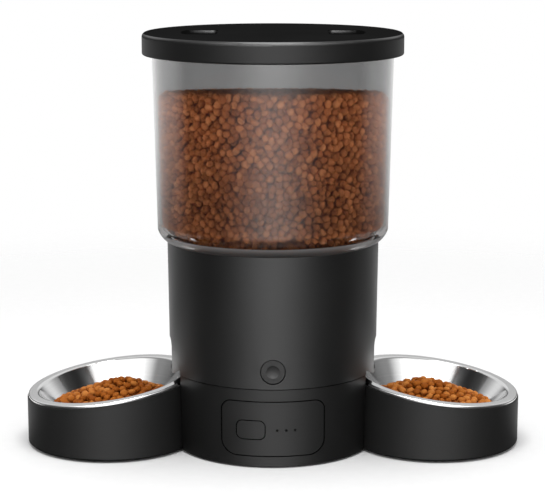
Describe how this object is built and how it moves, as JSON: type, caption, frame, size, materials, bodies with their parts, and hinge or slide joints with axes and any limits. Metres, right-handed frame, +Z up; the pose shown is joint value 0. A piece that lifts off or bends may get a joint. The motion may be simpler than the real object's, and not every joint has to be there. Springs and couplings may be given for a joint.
{
  "type": "automatic pet feeder",
  "caption": "Round hopper tower that meters dry kibble through a powered rotor and side chutes into a tilted steel bowl on each side.",
  "frame": {"origin": "on the floor under the middle of the tower", "axes": "+Z up, the controls face -Y, the bowls stand along X"},
  "size_m": [0.4448, 0.23, 0.37],
  "materials": {
    "black_plastic": "satin moulded",
    "smoky_clear_plastic": "clear, slightly smoky",
    "stainless_steel": "polished, fine turned grain",
    "black_rubber": "matte",
    "seal_silicone": "matte",
    "grey_plastic": "satin moulded",
    "gear_plastic": "moulded acetal",
    "gearbox_plastic": "moulded",
    "shaft_steel": "ground",
    "bush_bronze": "sintered",
    "motor_can": "zinc plated",
    "screw_steel": "zinc plated",
    "contact_nickel": "nickel plated",
    "battery_jacket": "gloss jacket",
    "circuit_board": "solder mask",
    "light_pipe": "smoked",
    "inlet_plastic": "moulded"
  },
  "bodies": {
    "tower": {"upper_housing": "black_plastic", "feed_funnel": "black_plastic", "left_chute": "black_plastic", "right_chute": "black_plastic", "portion_cover": "black_plastic", "rotor_bush": "bush_bronze", "idler_pin": "shaft_steel", "motor": "motor_can", "gearbox_housing": "gearbox_plastic", "gearbox_cover": "gearbox_plastic", "gearbox_screws": "screw_steel", "base_housing": "black_plastic", "base_plate": "black_plastic", "battery_box": "black_plastic", "battery_cells": "battery_jacket", "battery_contacts": "contact_nickel", "battery_door": "black_plastic", "battery_door_screw": "screw_steel", "control_panel": "black_plastic", "control_board": "circuit_board", "indicator_lights": "light_pipe", "feed_button_board": "circuit_board", "dc_inlet": "inlet_plastic", "housing_screws": "screw_steel", "base_screws": "screw_steel", "base_feet": "black_rubber"},
    "hopper": {"hopper": "smoky_clear_plastic"},
    "lid": {"lid": "black_plastic", "lid_seal": "seal_silicone"},
    "rotor": {"portion_rotor": "grey_plastic", "rotor_shaft": "shaft_steel", "stirrer": "grey_plastic", "stirrer_nut": "grey_plastic", "output_gear": "gear_plastic"},
    "idler": {"idler_gear": "gear_plastic"},
    "motor_drive": {"motor_pinion": "gear_plastic", "motor_shaft": "shaft_steel"},
    "feed_button": {"feed_button": "black_plastic"},
    "power_button": {"power_button": "black_plastic"},
    "left_station": {"left_bowl_holder": "black_plastic", "left_holder_feet": "black_rubber"},
    "left_bowl": {"left_bowl": "stainless_steel"},
    "right_station": {"right_bowl_holder": "black_plastic", "right_holder_feet": "black_rubber"},
    "right_bowl": {"right_bowl": "stainless_steel"}
  },
  "joints": [
    {"name": "hopper_lift", "type": "slide", "parent": "tower", "child": "hopper", "axis": [0, 0, 1], "range_m": [0, 0.06]},
    {"name": "lid_lift", "type": "slide", "parent": "hopper", "child": "lid", "axis": [0, 0, 1], "range_m": [0, 0.06]},
    {"name": "rotor_spin", "type": "hinge", "parent": "tower", "child": "rotor", "pos_m": [0, 0, 0.14], "axis": [0, 0, 1], "continuous": true},
    {"name": "idler_spin", "type": "hinge", "parent": "tower", "child": "idler", "pos_m": [0, 0.032, 0.105], "axis": [0, 0, 1], "continuous": true},
    {"name": "motor_spin", "type": "hinge", "parent": "tower", "child": "motor_drive", "pos_m": [0, 0.06, 0.103], "axis": [0, 0, 1], "continuous": true},
    {"name": "feed_button_press", "type": "slide", "parent": "tower", "child": "feed_button", "axis": [0, 1, 0], "range_m": [0, 0.0015], "stiffness_N_per_m": 900},
    {"name": "power_button_press", "type": "slide", "parent": "tower", "child": "power_button", "axis": [0, 1, 0], "range_m": [0, 0.0012], "stiffness_N_per_m": 900},
    {"name": "left_station_slide", "type": "slide", "parent": "tower", "child": "left_station", "axis": [-1, 0, 0], "range_m": [0, 0.07]},
    {"name": "left_bowl_tip", "type": "hinge", "parent": "left_station", "child": "left_bowl", "pos_m": [-0.07091, -0.00029, 0.06346], "axis": [0, 0.9996, 0.0279], "range_deg": [0, 18]},
    {"name": "right_station_slide", "type": "slide", "parent": "tower", "child": "right_station", "axis": [1, 0, 0], "range_m": [0, 0.07]},
    {"name": "right_bowl_tip", "type": "hinge", "parent": "right_station", "child": "right_bowl", "pos_m": [0.07091, -0.00029, 0.06346], "axis": [0, -0.9996, -0.0279], "range_deg": [0, 18]}
  ],
  "couplings": [
    {"joint": "idler_spin", "follows": "rotor_spin", "ratio": -3},
    {"joint": "motor_spin", "follows": "rotor_spin", "ratio": 7.5}
  ]
}
